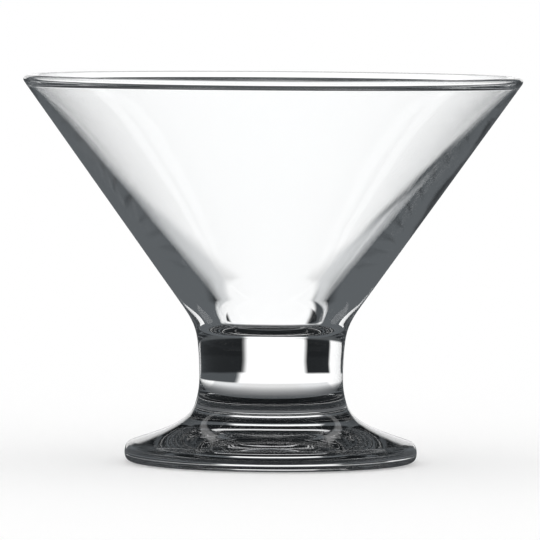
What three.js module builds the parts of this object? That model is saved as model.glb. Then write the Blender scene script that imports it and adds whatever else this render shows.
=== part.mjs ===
// A footed ice cream glass of clear pressed glass, in millimetres, +Z up.
// The origin is the centre of the plane that the foot stands on.
// It is split the way stemware is joined: a bowl, a short solid stem and a foot, fused one on top of the
// other while the glass is hot. Each piece is a solid of revolution about Z, and the joints are flat discs.
import * as THREE from "three";

// Overall size
const RIM_DIAMETER = 118; // across the outside of the rim
const GLASS_HEIGHT = 91.4; // from the standing plane to the top of the rim

// Bowl
const RIM_BEAD_DIAMETER = 2.2; // the rounded lip, thicker than the wall below it
const RIM_BEAD_BLEND = 1.5; // length of wall, inside, over which the bead runs out
const WALL_UNDER_RIM = 1; // wall thickness, square to the wall, below the bead
const THIN_WALL_LENGTH = 12; // how far down the wall it heads on at that thickness before it swells
const WALL_AT_SHOULDER = 6.5; // wall thickness, square to the wall, at the foot of the cone
const SHOULDER_DIAMETER = 42.6; // outside of the bowl where the cone ends
const SHOULDER_HEIGHT = 37.2;
const POCKET_HEIGHT = 38.3; // where the steeper pocket starts, inside, at the bottom of the cone
const POCKET_LEAN = 22; // degrees from the vertical of the pocket's wall
const POCKET_BLEND = 3.5; // length of wall, inside, over which the cone starts to turn into the pocket
const FLOOR_HEIGHT = 31.1; // inside floor of the bowl
const FLOOR_FILLET = 6; // radius between the floor and the pocket's wall

// Stem
const NECK_DIAMETER = 34.4; // the joint of bowl and stem
const NECK_HEIGHT = 25.6;
const NECK_REACH = 0.44; // how far the neck keeps to each of its two directions, as a share of its length
const WAIST_DIAMETER = 34; // the narrowest place
const WAIST_HEIGHT = 19.8;
const ANKLE_DIAMETER = 35.9; // the joint of stem and foot
const ANKLE_HEIGHT = 13.7;

// Foot
const FOOT_DIAMETER = 69.2;
const FOOT_EDGE_HEIGHT = 4.9; // top of the rounded edge
const FOOT_EDGE_MIDDLE = 2.2; // height of the widest place on the edge
const FOOT_EDGE_TOP_ROUND = 1.6; // how far in the edge rounds over above
const FOOT_EDGE_UNDER_ROUND = 2.2; // how far in the edge rounds over below
const STANDING_RING_WIDTH = 3; // the flat ring that the glass stands on
const UNDERSIDE_HOLLOW = 1.4; // height of the shallow dome inside that ring
const FOOT_CROWN_SLOPE = 0.33; // rise over run of the foot's top, next to its edge

// Fineness of the facets
const SEGMENTS = 60; // round the axis
const DIVISIONS = 5; // along each curve of a profile

const CLEAR_GLASS = { color: 0xe9eef0, roughness: 0.02, metalness: 0, transparent: true, opacity: 0.35 };

const half = (diameter) => diameter / 2;

// A point at a distance from another, along a direction of (radial, up).
const along = (point, direction, distance) => point.clone().addScaledVector(direction, distance);

// The direction, upwards, of a wall that leans out by an angle from the vertical, and the way it faces.
const leaning = (angle) => new THREE.Vector2(Math.sin(angle), Math.cos(angle));
const facingOut = (angle) => new THREE.Vector2(Math.cos(angle), -Math.sin(angle));

// The lean from the vertical of the line from one point up to another.
function leanBetween(low, high) {
  return Math.atan2(high.x - low.x, high.y - low.y);
}

// The coordinates of points one after another, as a path's curves take them.
const listed = (...points) => points.flatMap((point) => point.toArray());

// Turns a profile of (radius, height) about Z. The profile starts and ends on the axis.
function turned(name, profile) {
  const geometry = new THREE.LatheGeometry(profile.getPoints(DIVISIONS), SEGMENTS);
  geometry.rotateX(Math.PI / 2);
  const mesh = new THREE.Mesh(geometry, new THREE.MeshStandardMaterial(CLEAR_GLASS));
  mesh.name = name;
  return mesh;
}

// The stem's side is a parabola on each side of the waist, so its lean at a joint is twice its rise there.
function stemSide(jointDiameter, jointHeight) {
  const joint = new THREE.Vector2(half(jointDiameter), jointHeight);
  const waist = new THREE.Vector2(half(WAIST_DIAMETER), WAIST_HEIGHT);
  const control = new THREE.Vector2(waist.x, (waist.y + joint.y) / 2);
  return { joint, waist, control, direction: joint.clone().sub(control).normalize() };
}

// The cone of the bowl, with its beaded rim, the pocket at its bottom, and the neck that the stem joins.
// The outside of the wall is straight. The inside leaves the bead beside it and swells to the shoulder.
function bowl() {
  const neck = stemSide(NECK_DIAMETER, NECK_HEIGHT);
  const shoulder = new THREE.Vector2(half(SHOULDER_DIAMETER), SHOULDER_HEIGHT);
  const bead = half(RIM_BEAD_DIAMETER);
  const beadCentre = new THREE.Vector2(half(RIM_DIAMETER) - bead, GLASS_HEIGHT - bead);

  // The outside of the wall is the line from the shoulder that touches the bead.
  const beadSpread = Math.asin(bead / shoulder.distanceTo(beadCentre));
  const outerLean = leanBetween(shoulder, beadCentre) + beadSpread;
  const up = leaning(outerLean);
  const out = facingOut(outerLean);
  const rimOutside = along(beadCentre, out, bead);
  const rimInside = along(beadCentre, out, -bead);
  const insideAt = (depth, wall) => along(along(rimOutside, up, -depth), out, -wall);

  const thinTop = insideAt(RIM_BEAD_BLEND, WALL_UNDER_RIM);
  const thinEnd = insideAt(RIM_BEAD_BLEND + THIN_WALL_LENGTH, WALL_UNDER_RIM);
  const insideShoulder = along(shoulder, out, -WALL_AT_SHOULDER);
  const innerLean = leanBetween(insideShoulder, thinEnd);

  // The cone goes on below the shoulder to the pocket, and a fillet brings the pocket's wall to the floor.
  const toHeight = (point, lean, height) => along(point, leaning(lean), (height - point.y) / Math.cos(lean));
  const pocketLean = THREE.MathUtils.degToRad(POCKET_LEAN);
  const pocketTop = toHeight(insideShoulder, innerLean, POCKET_HEIGHT);
  const swellEnd = along(pocketTop, leaning(innerLean), POCKET_BLEND);
  const filletHeight = FLOOR_HEIGHT + FLOOR_FILLET * (1 - Math.sin(pocketLean));
  const filletTop = toHeight(pocketTop, pocketLean, filletHeight);
  const filletCentre = along(filletTop, facingOut(pocketLean), -FLOOR_FILLET);

  const beadHandle = along(rimInside, up, -half(RIM_BEAD_BLEND));
  const thinHandle = along(thinTop, up, half(RIM_BEAD_BLEND));
  const neckReach = NECK_REACH * shoulder.distanceTo(neck.joint);
  const neckHandle = along(neck.joint, neck.direction, neckReach);
  const shoulderHandle = along(shoulder, up, -neckReach);

  const profile = new THREE.Path();
  profile.moveTo(0, NECK_HEIGHT);
  profile.lineTo(...listed(neck.joint));
  profile.bezierCurveTo(...listed(neckHandle, shoulderHandle, shoulder));
  profile.lineTo(...listed(rimOutside));
  profile.absarc(beadCentre.x, beadCentre.y, bead, -outerLean, Math.PI - outerLean, false);
  profile.bezierCurveTo(...listed(beadHandle, thinHandle, thinTop));
  profile.quadraticCurveTo(...listed(thinEnd, swellEnd));
  profile.quadraticCurveTo(...listed(pocketTop, filletTop));
  profile.absarc(filletCentre.x, filletCentre.y, FLOOR_FILLET, -pocketLean, -Math.PI / 2, true);
  profile.lineTo(0, FLOOR_HEIGHT);
  return turned("bowl", profile);
}

// The short solid drum between the two joints, drawn in to a waist.
function stem() {
  const neck = stemSide(NECK_DIAMETER, NECK_HEIGHT);
  const ankle = stemSide(ANKLE_DIAMETER, ANKLE_HEIGHT);

  const profile = new THREE.Path();
  profile.moveTo(0, ANKLE_HEIGHT);
  profile.lineTo(...listed(ankle.joint));
  profile.quadraticCurveTo(...listed(ankle.control, ankle.waist));
  profile.quadraticCurveTo(...listed(neck.control, neck.joint));
  profile.lineTo(0, NECK_HEIGHT);
  return turned("stem", profile);
}

// The disc that the glass stands on, on a flat ring round a shallow dome. Above, it flares up to the stem.
function foot() {
  const ankle = stemSide(ANKLE_DIAMETER, ANKLE_HEIGHT);
  const edge = half(FOOT_DIAMETER);
  const ringOutside = edge - FOOT_EDGE_UNDER_ROUND;
  const ringInside = ringOutside - STANDING_RING_WIDTH;
  const crown = new THREE.Vector2(edge - FOOT_EDGE_TOP_ROUND, FOOT_EDGE_HEIGHT);
  const crownDirection = new THREE.Vector2(-1, FOOT_CROWN_SLOPE).normalize();
  const handle = crown.distanceTo(ankle.joint) / 2;
  const crownHandle = along(crown, crownDirection, handle);
  const ankleHandle = along(ankle.joint, ankle.direction, handle / 2);
  const edgeCorner = FOOT_EDGE_HEIGHT - FOOT_EDGE_TOP_ROUND * FOOT_CROWN_SLOPE;

  const profile = new THREE.Path();
  profile.moveTo(0, UNDERSIDE_HOLLOW);
  profile.quadraticCurveTo(half(ringInside), UNDERSIDE_HOLLOW, ringInside, 0);
  profile.lineTo(ringOutside, 0);
  profile.quadraticCurveTo(edge, 0, edge, FOOT_EDGE_MIDDLE);
  profile.quadraticCurveTo(edge, edgeCorner, ...listed(crown));
  profile.bezierCurveTo(...listed(crownHandle, ankleHandle, ankle.joint));
  profile.lineTo(0, ANKLE_HEIGHT);
  return turned("foot", profile);
}

const glass = new THREE.Group();
glass.add(bowl(), stem(), foot());

export default glass;
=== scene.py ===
# %% [markdown]
# # An ice cream glass in clear glass
# The glass is a wide cone on a short solid stem and a round foot. Such a glass is joined hot from three
# pieces, or pressed in one go by a machine, so the finished glass is one clear body without a seam. What
# the eye sees of it is almost only light that was bent on its way through: the grey bands and bright
# lines are the room, drawn by the shape. So this lesson spends its care on exact curves and on a quiet
# studio. The imported model comes first. It is the frame that every piece has to fit, and its boxes give
# the main sizes.

# %% Load the frame
import math

import bpy
import numpy as np
from mathutils import Matrix, Vector


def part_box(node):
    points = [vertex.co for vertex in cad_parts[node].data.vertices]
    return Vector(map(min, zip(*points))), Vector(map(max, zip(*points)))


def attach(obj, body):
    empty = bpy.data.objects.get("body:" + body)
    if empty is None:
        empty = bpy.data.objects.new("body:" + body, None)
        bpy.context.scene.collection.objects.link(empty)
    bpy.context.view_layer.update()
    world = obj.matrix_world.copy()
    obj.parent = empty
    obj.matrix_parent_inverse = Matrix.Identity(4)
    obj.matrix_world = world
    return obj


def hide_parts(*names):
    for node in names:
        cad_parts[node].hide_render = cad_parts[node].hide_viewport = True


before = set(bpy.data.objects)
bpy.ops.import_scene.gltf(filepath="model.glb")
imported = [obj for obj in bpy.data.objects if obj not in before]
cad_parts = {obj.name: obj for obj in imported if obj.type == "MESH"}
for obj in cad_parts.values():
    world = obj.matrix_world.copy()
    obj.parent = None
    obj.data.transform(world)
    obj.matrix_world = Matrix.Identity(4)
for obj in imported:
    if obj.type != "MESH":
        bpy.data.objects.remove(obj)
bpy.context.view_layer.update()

MM = 0.001


# %% [markdown]
# ## The camera
# The photographer stood well back with a long lens, a little above the rim, so the rim is a thin ellipse.
# A long lens could be faked with an orthographic camera, but then the far rim would sit in the wrong place.
# The glass leans a hair to the left in the picture, which is the camera's own roll and not a bent glass.

# %% Set up the camera
CAMERA_DISTANCE, CAMERA_HEIGHT = 1.55, 0.120
AIM = Vector((-0.00045, 0.0, 0.0454))
LENS = 437.3
CAMERA_ROLL = math.radians(0.4)
FARTHEST_SEEN = 100.0

camera = bpy.data.objects.new("camera", bpy.data.cameras.new("camera"))
camera.data.lens = LENS
camera.data.clip_end = FARTHEST_SEEN
camera.location = (AIM.x, -CAMERA_DISTANCE, CAMERA_HEIGHT)
looking = (AIM - camera.location).to_track_quat("-Z", "Y").to_matrix()
camera.rotation_euler = (looking @ Matrix.Rotation(CAMERA_ROLL, 3, "Z")).to_euler()
bpy.context.scene.collection.objects.link(camera)
bpy.context.scene.camera = camera
tip = math.degrees(math.atan2(CAMERA_HEIGHT - AIM.z, CAMERA_DISTANCE))
print("the camera tips down by", round(tip, 2), "degrees")

# %% [markdown]
# ## The main sizes
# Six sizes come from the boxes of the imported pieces, so a changed model carries over by itself. They could
# be typed in again, but then two files would have to agree by hand. The smaller sizes, which no box shows,
# are noted further down with the piece that they shape.

# %% Read the main sizes
bowl_box, stem_box, foot_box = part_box("bowl"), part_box("stem"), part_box("foot")
rim_radius, glass_height = bowl_box[1].x, bowl_box[1].z
ankle_radius, neck_height = stem_box[1].x, stem_box[1].z
foot_radius, ankle_height = foot_box[1].x, foot_box[1].z
print("rim", round(2 * rim_radius / MM, 2), "mm across,", round(glass_height / MM, 2), "mm tall")

# %% [markdown]
# ## Curves that know which way they face
# Glass shows every kink. A mesh with normals guessed from its flat facets bends light in little steps, so
# each curve here gives its points together with its exact direction, and the normals come from those.
# One formula covers a straight wall, a curve with one handle and a curve with two: they are all Bezier
# curves. An arc has a formula of its own. A profile is a list of such runs, as (radius, height).

# %% Write the curves
FINE_STEP, FEWEST_STOPS = 0.35 * MM, 8


def curve(*knots):
    """Points and directions along a Bezier curve, from its two ends and the handles between them."""
    degree = len(knots) - 1
    length = sum((b - a).length for a, b in zip(knots, knots[1:]))
    count = 2 if degree == 1 else max(FEWEST_STOPS, round(length / FINE_STEP))
    stops = []
    for t in np.linspace(0.0, 1.0, count).tolist():
        place, heading = Vector((0.0, 0.0)), Vector((0.0, 0.0))
        for i, knot in enumerate(knots):
            place += math.comb(degree, i) * (1 - t) ** (degree - i) * t**i * knot
        for i, (a, b) in enumerate(zip(knots, knots[1:])):
            heading += math.comb(degree - 1, i) * (1 - t) ** (degree - 1 - i) * t**i * (b - a)
        stops.append((place, heading.normalized()))
    return stops


def arc(centre, radius, start, stop, count):
    """Points and directions along an arc, from one angle to another."""
    sense = 1.0 if stop > start else -1.0
    stops = []
    for angle in np.linspace(start, stop, count).tolist():
        out = Vector((math.cos(angle), math.sin(angle)))
        stops.append((centre + radius * out, sense * Vector((-out.y, out.x))))
    return stops


print("a quarter arc's middle:", arc(Vector((0, 0)), 1.0, 0.0, math.pi / 2, 3)[1])

# %% [markdown]
# ## Turning a profile
# A lathe sweeps a profile round the axis, and so does this: rings of points, with a single point where the
# profile meets the axis. Each place also gets the way that its surface faces, square to the profile.

# %% Lay the rings
ROUNDS = 256
ON_AXIS = 1e-7
turns = np.linspace(0.0, 2 * math.pi, ROUNDS, endpoint=False)
ring_ways = np.stack([np.cos(turns), np.sin(turns)], axis=1)


def lay_ring(points, place):
    """Adds a ring of points, or one point on the axis. Gives their numbers, the first again at the end."""
    start = len(points)
    if place.x < ON_AXIS:
        points.append((0.0, 0.0, place.y))
        return [start] * (ROUNDS + 1)
    points.extend((place.x * c, place.x * s, place.y) for c, s in ring_ways)
    return [*range(start, start + ROUNDS), start]


def facing(place, heading, turn):
    """The way that the surface faces at a place of the profile, at one turn of its ring."""
    if place.x < ON_AXIS:
        return (0.0, 0.0, math.copysign(1.0, -heading.x))
    c, s = ring_ways[turn % ROUNDS]
    return (heading.y * c, heading.y * s, -heading.x)


print(ROUNDS, "points in a ring,", round(2 * math.pi * rim_radius / ROUNDS / MM, 2), "mm apart at the rim")

# %% [markdown]
# The rings are joined by four-sided faces, or three-sided ones at the axis. Blender's Screw modifier can
# turn a profile too, but it would lose the exact normals and couldn't tell a joint from a polished wall.
# So each run of the profile says which of the two finishes it has.

# %% Write the turning
GLASS, JOINT = 0, 1


def turned(name, runs):
    """A closed body of revolution, from runs of (GLASS or JOINT, stops) that start and end on the axis."""
    points, faces, normals, finishes = [], [], [], []
    above = lay_ring(points, runs[0][1][0][0])
    for finish, stops in runs:
        for (low, low_way), (high, high_way) in zip(stops, stops[1:]):
            below, above = above, lay_ring(points, high)
            for i in range(ROUNDS):
                corners = [(below, i, low, low_way), (below, i + 1, low, low_way)]
                corners += [(above, i + 1, high, high_way), (above, i, high, high_way)]
                if below[0] == below[1]:
                    corners.pop(1)
                elif above[0] == above[1]:
                    corners.pop(2)
                faces.append([ring[turn] for ring, turn, place, way in corners])
                normals.extend(facing(place, way, turn) for ring, turn, place, way in corners)
                finishes.append(finish)

    mesh = bpy.data.meshes.new(name)
    mesh.from_pydata(points, [], faces)
    mesh.polygons.foreach_set("material_index", finishes)
    mesh.shade_smooth()
    mesh.normals_split_custom_set(normals)
    piece = bpy.data.objects.new(name, mesh)
    bpy.context.scene.collection.objects.link(piece)
    print(name, "has", len(points), "points and", len(faces), "faces")
    return piece


# %% [markdown]
# ## The stem
# The stem is a short solid drum, drawn in a little at the waist. A plain cylinder would be easier, but
# the outline shows the waist, and it bends everything that is seen through the stem. Each half of its
# side is a parabola, straight up at the waist, so it needs one handle. The two flat ends are the joints.

# %% Make the stem
WAIST_RADIUS, WAIST_HEIGHT = 17.0 * MM, 19.8 * MM
NECK_RADIUS = 17.2 * MM

waist = Vector((WAIST_RADIUS, WAIST_HEIGHT))
neck = Vector((NECK_RADIUS, neck_height))
ankle = Vector((ankle_radius, ankle_height))
neck_handle = Vector((waist.x, (waist.y + neck.y) / 2))
ankle_handle = Vector((waist.x, (waist.y + ankle.y) / 2))
neck_way = (neck - neck_handle).normalized()
ankle_way = (ankle - ankle_handle).normalized()

stem = turned("stem_glass", [
    (JOINT, curve(Vector((0, ankle.y)), ankle)),
    (GLASS, curve(ankle, ankle_handle, waist)),
    (GLASS, curve(waist, neck_handle, neck)),
    (JOINT, curve(neck, Vector((0, neck.y)))),
])

# %% [markdown]
# ## The bowl's outside
# The outside of the cone is straight, from the shoulder to the rim. The rim is a small bead, rounded by
# the flame, a little thicker than the wall below it. The wall is the line from the shoulder that just
# touches the bead, so the two meet without a kink. Leans are measured from the vertical.

# %% Work out the bowl's outside
RIM_BEAD = 2.2 * MM
SHOULDER_RADIUS, SHOULDER_HEIGHT = 21.3 * MM, 37.2 * MM


def lean_between(low, high):
    """The lean of the line from one point up to another."""
    return math.atan2(high.x - low.x, high.y - low.y)


def wall_way(lean):
    """The direction up a wall that leans out by an angle."""
    return Vector((math.sin(lean), math.cos(lean)))


def wall_face(lean):
    """The way that the outside of such a wall faces."""
    return Vector((math.cos(lean), -math.sin(lean)))


shoulder = Vector((SHOULDER_RADIUS, SHOULDER_HEIGHT))
bead = RIM_BEAD / 2
bead_centre = Vector((rim_radius - bead, glass_height - bead))
outer_lean = lean_between(shoulder, bead_centre) + math.asin(bead / (bead_centre - shoulder).length)
up, out = wall_way(outer_lean), wall_face(outer_lean)
rim_outside, rim_inside = bead_centre + bead * out, bead_centre - bead * out
print("the cone leans", round(math.degrees(outer_lean), 1), "degrees outside")

# %% [markdown]
# ## The bowl's inside
# The inside isn't straight. A plunger pressed it, and the wall swells from 1 mm under the bead to 6.5 mm
# at the shoulder. Below that, the inside turns into a steeper pocket with a rounded corner and a flat
# floor. A thin cone with a Solidify modifier would be quicker, but its wall would be even. The swelling
# wall works as a prism: it throws light back and forth inside, which paints the grey bands down both
# sides of the bowl.

# %% Work out the bowl's inside
RIM_BEAD_BLEND = 1.5 * MM
WALL_UNDER_RIM, THIN_WALL_LENGTH = 1.0 * MM, 12.0 * MM
WALL_AT_SHOULDER = 6.5 * MM
POCKET_HEIGHT, POCKET_LEAN, POCKET_BLEND = 38.3 * MM, math.radians(22), 3.5 * MM
FLOOR_HEIGHT, FLOOR_FILLET = 31.1 * MM, 6.0 * MM


def at_height(point, lean, height):
    """The place at a height on the leaning line through a point."""
    return point + (height - point.y) / math.cos(lean) * wall_way(lean)


thin_top = rim_outside - RIM_BEAD_BLEND * up - WALL_UNDER_RIM * out
thin_end = thin_top - THIN_WALL_LENGTH * up
inside_shoulder = shoulder - WALL_AT_SHOULDER * out
inner_lean = lean_between(inside_shoulder, thin_end)
pocket_top = at_height(inside_shoulder, inner_lean, POCKET_HEIGHT)
swell_end = pocket_top + POCKET_BLEND * wall_way(inner_lean)
fillet_height = FLOOR_HEIGHT + FLOOR_FILLET * (1 - math.sin(POCKET_LEAN))
fillet_top = at_height(pocket_top, POCKET_LEAN, fillet_height)
fillet_centre = fillet_top - FLOOR_FILLET * wall_face(POCKET_LEAN)
print("inside it leans", round(math.degrees(inner_lean), 1), "degrees, and the flat floor is",
      round(2 * fillet_centre.x / MM, 1), "mm across")

# %% [markdown]
# ## The bowl
# The whole profile now runs from the joint up the outside, over the bead, and down the inside to the
# floor. Between the stem and the cone lies the neck. It is one curve with two handles, which leaves the
# stem and meets the cone in their own directions, so the side of the glass is one smooth line.

# %% Make the bowl
NECK_REACH = 0.44
BEAD_STOPS, FILLET_STOPS = 40, 40
neck_reach = NECK_REACH * (shoulder - neck).length
half_blend = RIM_BEAD_BLEND / 2 * up

bowl = turned("bowl_glass", [
    (JOINT, curve(Vector((0, neck.y)), neck)),
    (GLASS, curve(neck, neck + neck_reach * neck_way, shoulder - neck_reach * up, shoulder)),
    (GLASS, curve(shoulder, rim_outside)),
    (GLASS, arc(bead_centre, bead, -outer_lean, math.pi - outer_lean, BEAD_STOPS)),
    (GLASS, curve(rim_inside, rim_inside - half_blend, thin_top + half_blend, thin_top)),
    (GLASS, curve(thin_top, thin_end, swell_end)),
    (GLASS, curve(swell_end, pocket_top, fillet_top)),
    (GLASS, arc(fillet_centre, FLOOR_FILLET, -POCKET_LEAN, -math.pi / 2, FILLET_STOPS)),
    (GLASS, curve(fillet_centre - Vector((0, FLOOR_FILLET)), Vector((0, FLOOR_HEIGHT)))),
])

# %% [markdown]
# ## The foot
# The foot is a disc with a rounded edge. Its top flares up into the stem, and its underside is a shallow
# dome inside a flat standing ring, so the glass stands firm on a table that isn't quite flat. The flare
# could be a plain arc, but a curve with two handles also meets the stem and the edge in the right
# directions.

# %% Make the foot
EDGE_HEIGHT, EDGE_MIDDLE = 4.9 * MM, 2.2 * MM
EDGE_TOP_ROUND, EDGE_UNDER_ROUND = 1.6 * MM, 2.2 * MM
STANDING_RING_WIDTH, UNDERSIDE_HOLLOW = 3.0 * MM, 1.4 * MM
CROWN_SLOPE = 0.33

ring_outside = foot_radius - EDGE_UNDER_ROUND
ring_inside = ring_outside - STANDING_RING_WIDTH
crown = Vector((foot_radius - EDGE_TOP_ROUND, EDGE_HEIGHT))
crown_way = Vector((-1.0, CROWN_SLOPE)).normalized()
edge_middle = Vector((foot_radius, EDGE_MIDDLE))
edge_corner = Vector((foot_radius, EDGE_HEIGHT - EDGE_TOP_ROUND * CROWN_SLOPE))
flare_reach = (ankle - crown).length / 2
flare_low, flare_high = crown + flare_reach * crown_way, ankle + flare_reach / 2 * ankle_way
hollow_top, hollow_handle = Vector((0, UNDERSIDE_HOLLOW)), Vector((ring_inside / 2, UNDERSIDE_HOLLOW))

foot = turned("foot_glass", [
    (GLASS, curve(hollow_top, hollow_handle, Vector((ring_inside, 0)))),
    (GLASS, curve(Vector((ring_inside, 0)), Vector((ring_outside, 0)))),
    (GLASS, curve(Vector((ring_outside, 0)), Vector((foot_radius, 0)), edge_middle)),
    (GLASS, curve(edge_middle, edge_corner, crown)),
    (GLASS, curve(crown, flare_low, flare_high, ankle)),
    (JOINT, curve(ankle, Vector((0, ankle.y)))),
])

# %% [markdown]
# ## Node helpers
# Materials are small graphs. They could be drawn by hand in the Shader Editor, but a script says exactly
# what was done. A few helpers keep it readable: one adds a node with its settings, one feeds a socket,
# one does sums, one starts a node group with named sockets, and one places such a group in a material.

# %% Write the node helpers
def add(tree, kind, **settings):
    """A new node of a kind such as ShaderNodeMath, with its settings."""
    made = tree.nodes.new(kind)
    for name, value in settings.items():
        setattr(made, name, value)
    return made


def feed(tree, socket, value):
    """Puts a number or colour on a socket, or links another socket to it."""
    if isinstance(value, bpy.types.NodeSocket):
        tree.links.new(value, socket)
    else:
        socket.default_value = value


def maths(tree, operation, first, second):
    """The output of a Math node whose inputs are sockets or numbers."""
    made = add(tree, "ShaderNodeMath", operation=operation)
    feed(tree, made.inputs[0], first)
    feed(tree, made.inputs[1], second)
    return made.outputs[0]


def new_group(name, inputs, outputs):
    """A shader node group with named sockets, and its input and output nodes."""
    tree = bpy.data.node_groups.new(name, "ShaderNodeTree")
    for direction, sockets in (("INPUT", inputs), ("OUTPUT", outputs)):
        for label, kind in sockets.items():
            tree.interface.new_socket(label, in_out=direction, socket_type="NodeSocket" + kind)
    print("group", name, "takes", list(inputs), "and gives", list(outputs))
    return tree, add(tree, "NodeGroupInput"), add(tree, "NodeGroupOutput")


def place_group(tree, group, **values):
    """The group as a node in a material, with its own values or links."""
    made = add(tree, "ShaderNodeGroup", node_tree=group)
    for label, value in values.items():
        feed(tree, made.inputs[label.capitalize()], value)
    return made


# %% [markdown]
# ## Slow waves
# A pressed surface is smooth but never perfectly even. It cooled against iron, so it has slow, shallow
# waves a centimetre or two long. They barely show on the surface and wobble what is seen through it. They
# could be pushed into the mesh, but a Bump node does it without more points. The group gives their height.

# %% Build the group of slow waves
waves, waves_in, waves_out = new_group("pressed_waves", {"Wavelength": "Float"}, {"Height": "Float"})
place = add(waves, "ShaderNodeTexCoord")
ripple = add(waves, "ShaderNodeTexNoise")
ripple.inputs["Detail"].default_value = 1.0
feed(waves, ripple.inputs["Vector"], place.outputs["Object"])
feed(waves, ripple.inputs["Scale"], maths(waves, "DIVIDE", 1.0, waves_in.outputs["Wavelength"]))
feed(waves, waves_out.inputs["Height"], ripple.outputs["Fac"])

# %% [markdown]
# ## Smears
# Hands, cloths and dish water leave the polish uneven. Faint smears are a little rougher than clean glass,
# so highlights soften there. A painted mask would need an image, and noise that is pulled out of shape does
# as well. The group gives the roughness itself, between a clean and a smeared value.

# %% Build the group of smears
SMEAR_STARTS, SMEAR_IS_FULL = 0.5, 0.75

smears, smears_in, smears_out = new_group(
    "wiped_smears", {"Clean": "Float", "Smeared": "Float"}, {"Roughness": "Float"})
place = add(smears, "ShaderNodeTexCoord")
wipe = add(smears, "ShaderNodeTexNoise")
wipe.inputs["Scale"].default_value = 70.0
wipe.inputs["Detail"].default_value = 3.0
wipe.inputs["Distortion"].default_value = 0.8
feed(smears, wipe.inputs["Vector"], place.outputs["Object"])
spread = add(smears, "ShaderNodeMapRange", interpolation_type="SMOOTHSTEP")
feed(smears, spread.inputs["Value"], wipe.outputs["Fac"])
feed(smears, spread.inputs["From Min"], SMEAR_STARTS)
feed(smears, spread.inputs["From Max"], SMEAR_IS_FULL)
feed(smears, spread.inputs["To Min"], smears_in.outputs["Clean"])
feed(smears, spread.inputs["To Max"], smears_in.outputs["Smeared"])
feed(smears, smears_out.inputs["Roughness"], spread.outputs["Result"])

# %% [markdown]
# ## Scuffs
# The standing ring is the one place that rubs on tables, so it alone gets fine scuffs. They could be cut
# into the mesh, but they are far finer than its facets, and what shows is only that the ring has lost
# some gloss. The group gives the roughness again, in fine specks that end a hair above the plane the
# glass stands on.

# %% Build the group of scuffs
SCUFF_REACH = 0.05 * MM

scuffs, scuffs_in, scuffs_out = new_group("standing_scuffs", {"Scuffed": "Float"}, {"Roughness": "Float"})
place = add(scuffs, "ShaderNodeTexCoord")
height = add(scuffs, "ShaderNodeSeparateXYZ")
feed(scuffs, height.inputs[0], place.outputs["Object"])
touching = maths(scuffs, "LESS_THAN", height.outputs["Z"], SCUFF_REACH)
specks = add(scuffs, "ShaderNodeTexNoise")
specks.inputs["Scale"].default_value = 900.0
specks.inputs["Detail"].default_value = 2.0
feed(scuffs, specks.inputs["Vector"], place.outputs["Object"])
worn = maths(scuffs, "MULTIPLY", specks.outputs["Fac"], scuffs_in.outputs["Scuffed"])
feed(scuffs, scuffs_out.inputs["Roughness"], maths(scuffs, "MULTIPLY", touching, worn))

# %% [markdown]
# ## The glass itself
# Soda-lime glass bends light by 1.52 and has a breath of cool grey, which shows only where it is thick.
# Blender has a Glass shader, but the Principled shader with full transmission does the same and also goes
# out with the exported model. The waves and smears go into its Normal and its Roughness.

# %% Mix the glass
SODA_LIME_BEND = 1.52
GLASS_TINT = (0.993, 0.997, 0.998, 1.0)


def clear_glass(name, wavelength, wave_height, smeared):
    """Clear pressed glass with slow waves and faint smears."""
    finish = bpy.data.materials.new(name)
    finish.use_nodes = True
    tree = finish.node_tree
    glass = tree.nodes["Principled BSDF"]
    glass.inputs["Base Color"].default_value = GLASS_TINT
    glass.inputs["Transmission Weight"].default_value = 1.0
    glass.inputs["IOR"].default_value = SODA_LIME_BEND
    polish = place_group(tree, smears, clean=0.0, smeared=smeared)
    feed(tree, glass.inputs["Roughness"], polish.outputs["Roughness"])
    surface = place_group(tree, waves, wavelength=wavelength)
    bump = add(tree, "ShaderNodeBump")
    bump.inputs["Strength"].default_value = 1.0
    bump.inputs["Distance"].default_value = wave_height
    feed(tree, bump.inputs["Height"], surface.outputs["Height"])
    feed(tree, glass.inputs["Normal"], bump.outputs["Normal"])
    return finish


finishes = {
    "bowl": clear_glass("bowl_glass", wavelength=14 * MM, wave_height=0.05 * MM, smeared=0.03),
    "stem": clear_glass("stem_glass", wavelength=10 * MM, wave_height=0.04 * MM, smeared=0.03),
    "foot": clear_glass("foot_glass", wavelength=12 * MM, wave_height=0.03 * MM, smeared=0.05),
}
print("finishes:", [finish.name for finish in finishes.values()])

# %% [markdown]
# ## Wear under the foot
# Only the foot touches tables, so only its glass gets the scuffs. Where a smear and a scuff meet, the
# rougher of the two wins. Adding them up would be as easy, but then a smeared scuff would turn to frosted
# glass.

# %% Rub the foot
foot_tree = finishes["foot"].node_tree
foot_polish = foot_tree.nodes["Principled BSDF"].inputs["Roughness"]
smeared_polish = foot_polish.links[0].from_socket
rubbed = place_group(foot_tree, scuffs, scuffed=0.4)
feed(foot_tree, foot_polish, maths(foot_tree, "MAXIMUM", smeared_polish, rubbed.outputs["Roughness"]))
print("the foot's finish has", len(foot_tree.nodes), "nodes")

# %% [markdown]
# ## One body of glass
# The real glass has no surface where bowl, stem and foot meet, but each piece here has to be closed. The
# three could be merged, and then they would no longer be pieces. So their touching faces get a finish of
# zero alpha, and light crosses from bowl to stem to foot unbent.

# %% Dress the pieces
fused_joint = bpy.data.materials.new("fused_joint")
fused_joint.use_nodes = True
fused_joint.node_tree.nodes["Principled BSDF"].inputs["Alpha"].default_value = 0.0

for node, piece in (("bowl", bowl), ("stem", stem), ("foot", foot)):
    piece.data.materials.append(finishes[node])
    piece.data.materials.append(fused_joint)
    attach(piece, "root")
    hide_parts(node)
    print(piece.name, "wears", [finish.name for finish in piece.data.materials])
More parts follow.
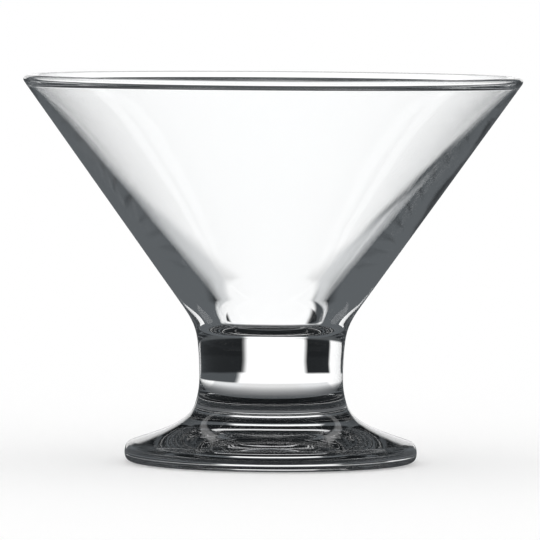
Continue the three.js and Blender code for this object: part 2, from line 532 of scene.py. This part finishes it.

# %% [markdown]
# ## The studio
# Clear glass is photographed in a bright field: a lit white backdrop and table, and dark cards just out
# of the picture. Seen through the glass, the middle is white, and where the glass bends light far aside
# it finds a card and draws a dark edge. Cards and lamps could be meshes, but they would stand in the way
# of other views. So the field is a ring of soft bright and dark strips, by compass direction, in degrees
# from straight behind the glass, and later only rays that have met the glass get to see it. The strips
# were set until the glass looked like the one in the photograph. A ray through the front and the
# back wall loses about 4 percent at each of four surfaces. The field is a little brighter than white to
# make up for that, so white seen through the glass stays white.

# %% Write the ring of strips
FIELD_LIGHT = 1.2
SOFT_EDGE = 3.0


def strip_ring(name, card, strips):
    """A group that gives a card's colour, with bright strips of (first, last, share of the field)."""
    ring, ring_in, ring_out = new_group(name, {"Direction": "Vector"}, {"Light": "Color"})
    split = add(ring, "ShaderNodeSeparateXYZ")
    feed(ring, split.inputs[0], ring_in.outputs["Direction"])
    compass = maths(ring, "ARCTAN2", split.outputs["X"], split.outputs["Y"])
    ramp = add(ring, "ShaderNodeValToRGB")
    feed(ring, ramp.inputs["Fac"], maths(ring, "ADD", maths(ring, "DIVIDE", compass, 2 * math.pi), 0.5))
    stops = ramp.color_ramp.elements
    stops[0].color = stops[1].color = card
    for first, last, share in strips:
        edges = first - SOFT_EDGE, first, last, last + SOFT_EDGE
        light = (share * FIELD_LIGHT,) * 3 + (1.0,)
        for angle, colour in zip(edges, (card, light, light, card)):
            stops.new(angle / 360 + 0.5).color = colour
    feed(ring, ring_out.inputs["Light"], ramp.outputs["Color"])
    return ring


print("the field is", FIELD_LIGHT, "times white, with edges", SOFT_EDGE, "degrees wide")

# %% [markdown]
# ## The backdrop and the table top
# The backdrop has one bright strip behind the glass and a few more to the sides, with black card between
# them. The stem turns left and right about, and shows the first black cards as its two black strips. The
# far part of the table is bright, with one grey card at the right. The near part is bright all round. In
# a real room every ray sees the same walls. Here is a shortcut: light that a glass surface has thrown
# back on its way sees an even grey, with white only behind the glass. That grey is the colour of the
# bands down both sides of the bowl, and the strips are left free to suit the rest of the glass.

# %% Lay out the rings
BLACK_CARD = (0.010, 0.011, 0.012, 1.0)
GREY_CARD = (0.075, 0.082, 0.088, 1.0)
WHITE_CARD = (0.85, 0.86, 0.87, 1.0)
THROWN_GREY = (0.108, 0.118, 0.126, 1.0)

backdrop_ring = strip_ring("backdrop_ring", BLACK_CARD, [
    (-145, -125, 1.0), (-100, -84, 1.0), (-68, -44, 1.0), (-18, 13, 1.0), (75, 95, 1.0), (125, 145, 1.0)])
# The two table rings are painted light: the floor glows with them for rays that met the glass first.
far_table_ring = strip_ring("far_table_ring", GREY_CARD, [(-177, 16, 1.0), (75, 177, 1.0)])
near_table_ring = strip_ring("near_table_ring", WHITE_CARD, [
    (-177, -38, 1.0), (-12, 12, 0.68), (38, 177, 1.0)])
thrown_ring = strip_ring("thrown_ring", THROWN_GREY, [(-18, 13, 1.0)])

# %% [markdown]
# ## Which ray is it?
# Light Path tells what has happened to a ray so far. Two questions are enough here: has it met the glass
# before anything else, and has a glass surface thrown it back on its way? Light groups or visibility
# flags couldn't ask the second one. The other two helpers blend values and colours softly.

# %% Write the questions and blends
def met_glass_first(tree):
    """1 for a ray that has been through glass or off it, and not yet off the floor."""
    path = add(tree, "ShaderNodeLightPath")
    through = maths(tree, "MAXIMUM", path.outputs["Is Glossy Ray"], path.outputs["Is Transmission Ray"])
    early = maths(tree, "LESS_THAN", path.outputs["Diffuse Depth"], 0.5)
    return maths(tree, "MULTIPLY", through, early)


def thrown_back(tree):
    """1 for a ray that a glass surface has thrown back on its way."""
    path = add(tree, "ShaderNodeLightPath")
    return maths(tree, "GREATER_THAN", path.outputs["Glossy Depth"], 0.5)


def ramp_over(tree, value, start, stop):
    """0 before start, 1 after stop, and smooth between them."""
    made = add(tree, "ShaderNodeMapRange", interpolation_type="SMOOTHSTEP")
    feed(tree, made.inputs["Value"], value)
    feed(tree, made.inputs["From Min"], start)
    feed(tree, made.inputs["From Max"], stop)
    return made.outputs["Result"]


def blend_colours(tree, share, first, second):
    """The output of a Mix node between two colours, each a socket or a value."""
    made = add(tree, "ShaderNodeMix", data_type="RGBA")
    feed(tree, made.inputs["Factor"], share)
    for socket, value in zip([i for i in made.inputs if i.type == "RGBA"], (first, second)):
        feed(tree, socket, value)
    return [o for o in made.outputs if o.type == "RGBA"][0]


# %% [markdown]
# ## The light all round
# A plain white dome lights the floor, and the camera sees it as the white background. Rays that met the
# glass first see the backdrop low down, and a dim room above it. Rays that were thrown back see the even
# grey low down, and above it a dark room with one ring lamp round the ceiling, which draws the fine
# bright lines in the foot. A lamp object would do that too, but it would also light the floor and bring
# noise into the glass.

# %% Build the world
WHITE = (1.0, 1.0, 1.0, 1.0)
DIM_ROOM = (0.090, 0.096, 0.100, 1.0)
DARK_ROOM_AND_FOOT_SHADOW = (0.008, 0.009, 0.010, 1.0)
RING_LAMP = (0.9, 0.9, 0.9, 1.0)
BACKDROP_TOP = 12, 17
LAMP_FOOT, LAMP_TOP = (36, 38), (41, 43)

world = bpy.data.worlds.new("studio")
world.use_nodes = True
bpy.context.scene.world = world
tree = world.node_tree
direction = add(tree, "ShaderNodeTexCoord").outputs["Generated"]
split = add(tree, "ShaderNodeSeparateXYZ")
feed(tree, split.inputs[0], direction)


def higher_than(edge):
    """0 below the first of two angles above the horizon, and 1 above the second."""
    return ramp_over(tree, split.outputs["Z"], *[math.sin(math.radians(angle)) for angle in edge])


backdrop = place_group(tree, backdrop_ring, direction=direction).outputs["Light"]
thrown_field = place_group(tree, thrown_ring, direction=direction).outputs["Light"]
lamp = maths(tree, "SUBTRACT", higher_than(LAMP_FOOT), higher_than(LAMP_TOP))
lamp_room = blend_colours(tree, lamp, DARK_ROOM_AND_FOOT_SHADOW, RING_LAMP)
low = blend_colours(tree, thrown_back(tree), backdrop, thrown_field)
high = blend_colours(tree, thrown_back(tree), DIM_ROOM, lamp_room)
room = blend_colours(tree, higher_than(BACKDROP_TOP), low, high)
seen = blend_colours(tree, met_glass_first(tree), WHITE, room)
feed(tree, tree.nodes["Background"].inputs["Color"], seen)
print("the world has", len(tree.nodes), "nodes")

# %% [markdown]
# ## The floor
# The floor is a plain white sheet, a hair below the glass so that the two don't fight for the same plane. A
# curved backdrop isn't needed, because the sheet runs so far that it meets the white world at the horizon.

# %% Lay the floor
FLOOR_SIZE, FLOOR_DROP = 60.0, 0.2 * MM

floor_mesh = bpy.data.meshes.new("floor")
reach = FLOOR_SIZE / 2
floor_mesh.from_pydata(
    [(-reach, -reach, 0), (reach, -reach, 0), (reach, reach, 0), (-reach, reach, 0)], [], [(0, 1, 2, 3)])
floor = bpy.data.objects.new("floor", floor_mesh)
floor.location.z = -FLOOR_DROP
bpy.context.scene.collection.objects.link(floor)
print("the floor is", FLOOR_SIZE, "m wide and", round(FLOOR_DROP / MM, 2), "mm below the glass")

# %% [markdown]
# ## What the glass sees of the floor
# The camera sees matt white paint with the soft shadow of the glass on it. Rays that met the glass first
# see the table top as the studio has it, as painted light that glows so that they bring no noise: painted
# shade under the glass, then the near table, then the far table, and where the table ends the backdrop.
# Each zone fades in between two distances from the axis. Thrown rays see the even grey, also painted as
# a glow, and a painted shadow right under the foot. The painted shade suits views from the side. From
# steeply above, the bowl lies right over it and looks like smoked glass.

# %% Paint the floor
SHADED_TABLE = (0.12, 0.125, 0.13, 1.0)
TABLE_ZONES = [(near_table_ring, 0.042, 0.125), (far_table_ring, 0.14, 0.19), (backdrop_ring, 0.45, 0.60)]
UNDER_FOOT, CLEAR_OF_FOOT = 0.030, 0.050

paint = bpy.data.materials.new("pale_floor")
paint.use_nodes = True
tree = paint.node_tree
matt = tree.nodes["Principled BSDF"]
matt.inputs["Base Color"].default_value = WHITE
matt.inputs["Roughness"].default_value = 1.0
matt.inputs["Specular IOR Level"].default_value = 0.0
spot = add(tree, "ShaderNodeTexCoord").outputs["Object"]
distance = add(tree, "ShaderNodeVectorMath", operation="LENGTH")
feed(tree, distance.inputs[0], spot)
from_axis = distance.outputs["Value"]

# Painted light and shade of the table top: painted shade under the glass, then the near table, the far table
# and the backdrop.
table = SHADED_TABLE
for ring, start, stop in TABLE_ZONES:
    zone = place_group(tree, ring, direction=spot).outputs["Light"]
    table = blend_colours(tree, ramp_over(tree, from_axis, start, stop), table, zone)
# Painted shadow right under the foot, in the dark room's colour, for thrown rays; further out the even grey.
clear = ramp_over(tree, from_axis, UNDER_FOOT, CLEAR_OF_FOOT)
thrown_grey_and_foot_shadow = blend_colours(tree, clear, DARK_ROOM_AND_FOOT_SHADOW, THROWN_GREY)
# The floor is no lamp: this glow is painted light, seen only by rays that met the glass first.
glow = add(tree, "ShaderNodeEmission")
feed(tree, glow.inputs["Color"], blend_colours(tree, thrown_back(tree), table, thrown_grey_and_foot_shadow))
either = add(tree, "ShaderNodeMixShader")
feed(tree, either.inputs[0], met_glass_first(tree))
feed(tree, either.inputs[1], matt.outputs[0])
feed(tree, either.inputs[2], glow.outputs[0])
feed(tree, tree.nodes["Material Output"].inputs["Surface"], either.outputs[0])
floor_mesh.materials.append(paint)
print("the floor's paint has", len(tree.nodes), "nodes")

# %% [markdown]
# ## How far the light is followed
# Light is thrown back and forth many times in the swelling wall before it gets out. With Blender's usual
# limit it would be given up as black on the way, so the limits go up. Colours go to the picture as they
# are.

# %% Set the bounces and colours
GLASS_BOUNCES, JOINTS_CROSSED = 64, 24

scene = bpy.context.scene
scene.cycles.max_bounces = GLASS_BOUNCES
scene.cycles.transmission_bounces = GLASS_BOUNCES
scene.cycles.glossy_bounces = GLASS_BOUNCES
scene.cycles.transparent_max_bounces = JOINTS_CROSSED
scene.view_settings.view_transform = "Standard"
print("light is followed through", GLASS_BOUNCES, "surfaces")
